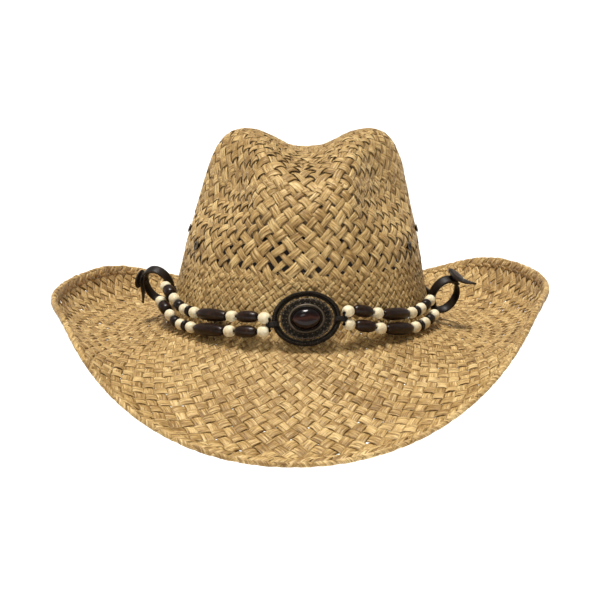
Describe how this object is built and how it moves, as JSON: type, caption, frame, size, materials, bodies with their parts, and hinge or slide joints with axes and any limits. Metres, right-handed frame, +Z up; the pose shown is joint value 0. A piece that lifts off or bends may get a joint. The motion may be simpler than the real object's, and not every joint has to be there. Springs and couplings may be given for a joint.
{
  "type": "cowboy hat",
  "caption": "Woven straw western hat with a pinch-front crown, a wired brim rolled up at the sides, and a beaded leather band with an oval concho at the front.",
  "frame": {"origin": "centre of the head opening, at the line where the crown wall turns into the brim", "axes": "+Z up through the crown, -Y towards the front of the hat, +X towards the wearer's left. Parts named left and right are as seen from the front, so left is -X"},
  "size_m": [0.3387, 0.3949, 0.1782],
  "materials": {
    "straw": "woven natural palm straw, matte with a slight sheen, strips vary from pale gold to tan",
    "steel_wire": "plain drawn wire",
    "sweatband_cloth": "dark brown ribbed cotton band, matte",
    "eyelet_metal": "antique dark brass, worn on the flange",
    "concho_bronze": "antique dark bronze, rubbed brighter on the raised rims",
    "polished_stone": "polished deep red-brown cabochon, glossy",
    "waxed_cord": "black waxed twisted cord",
    "bone": "carved cream bone, satin",
    "horn": "polished brown-black horn",
    "leather": "black-brown smooth leather, satin, worn edges"
  },
  "bodies": {
    "hat": {"brim_wire": "steel_wire", "edge_binding": "straw", "eyelet_left_1": "eyelet_metal", "eyelet_left_2": "eyelet_metal", "eyelet_left_3": "eyelet_metal", "eyelet_right_1": "eyelet_metal", "eyelet_right_2": "eyelet_metal", "eyelet_right_3": "eyelet_metal", "straw_body": "straw", "sweatband": "sweatband_cloth"},
    "hatband": {"bead_cord_left": "waxed_cord", "bead_cord_right": "waxed_cord", "bead_left_lower_01_round": "bone", "bead_left_lower_02_barrel": "horn", "bead_left_lower_03_round": "bone", "bead_left_lower_04_long": "horn", "bead_left_lower_05_round": "bone", "bead_left_lower_06_disc": "horn", "bead_left_lower_07_round": "bone", "bead_left_lower_08_stub": "horn", "bead_left_lower_09_round": "bone", "bead_left_lower_10_cask": "horn", "bead_left_lower_11_round": "bone", "bead_left_upper_01_round": "bone", "bead_left_upper_02_barrel": "horn", "bead_left_upper_03_round": "bone", "bead_left_upper_04_long": "horn", "bead_left_upper_05_round": "bone", "bead_left_upper_06_disc": "horn", "bead_left_upper_07_round": "bone", "bead_left_upper_08_stub": "horn", "bead_left_upper_09_round": "bone", "bead_left_upper_10_cask": "horn", "bead_left_upper_11_round": "bone", "bead_right_lower_01_round": "bone", "bead_right_lower_02_barrel": "horn", "bead_right_lower_03_round": "bone", "bead_right_lower_04_long": "horn", "bead_right_lower_05_round": "bone", "bead_right_lower_06_disc": "horn", "bead_right_lower_07_round": "bone", "bead_right_lower_08_stub": "horn", "bead_right_lower_09_round": "bone", "bead_right_upper_01_round": "bone", "bead_right_upper_02_barrel": "horn", "bead_right_upper_03_round": "bone", "bead_right_upper_04_long": "horn", "bead_right_upper_05_round": "bone", "bead_right_upper_06_disc": "horn", "bead_right_upper_07_round": "bone", "bead_right_upper_08_stub": "horn", "bead_right_upper_09_round": "bone", "rear_strap": "leather", "strap_button_left": "leather", "strap_button_right": "leather"},
    "concho": {"concho_plate": "concho_bronze", "concho_stone": "polished_stone"},
    "tail_left": {"strap_tail_left": "leather"},
    "tail_right": {"strap_tail_right": "leather"}
  },
  "joints": [
    {"name": "hatband_lift", "type": "slide", "parent": "hat", "child": "hatband", "axis": [0, 0, 1], "range_m": [0, 0.14]},
    {"name": "concho_rock", "type": "hinge", "parent": "hatband", "child": "concho", "pos_m": [0.00417, -0.10984, 0.00691], "axis": [0.9962, 0.0226, 0.0842], "range_deg": [-8, 8]},
    {"name": "tail_left_swivel", "type": "hinge", "parent": "hatband", "child": "tail_left", "pos_m": [-0.1048, -0.01946, 0.01716], "axis": [-0.914, 0.3375, 0.225], "range_deg": [-30, 30]},
    {"name": "tail_right_swivel", "type": "hinge", "parent": "hatband", "child": "tail_right", "pos_m": [0.10169, -0.03371, 0.02033], "axis": [0.5851, -0.2101, 0.7833], "range_deg": [-30, 30]}
  ]
}
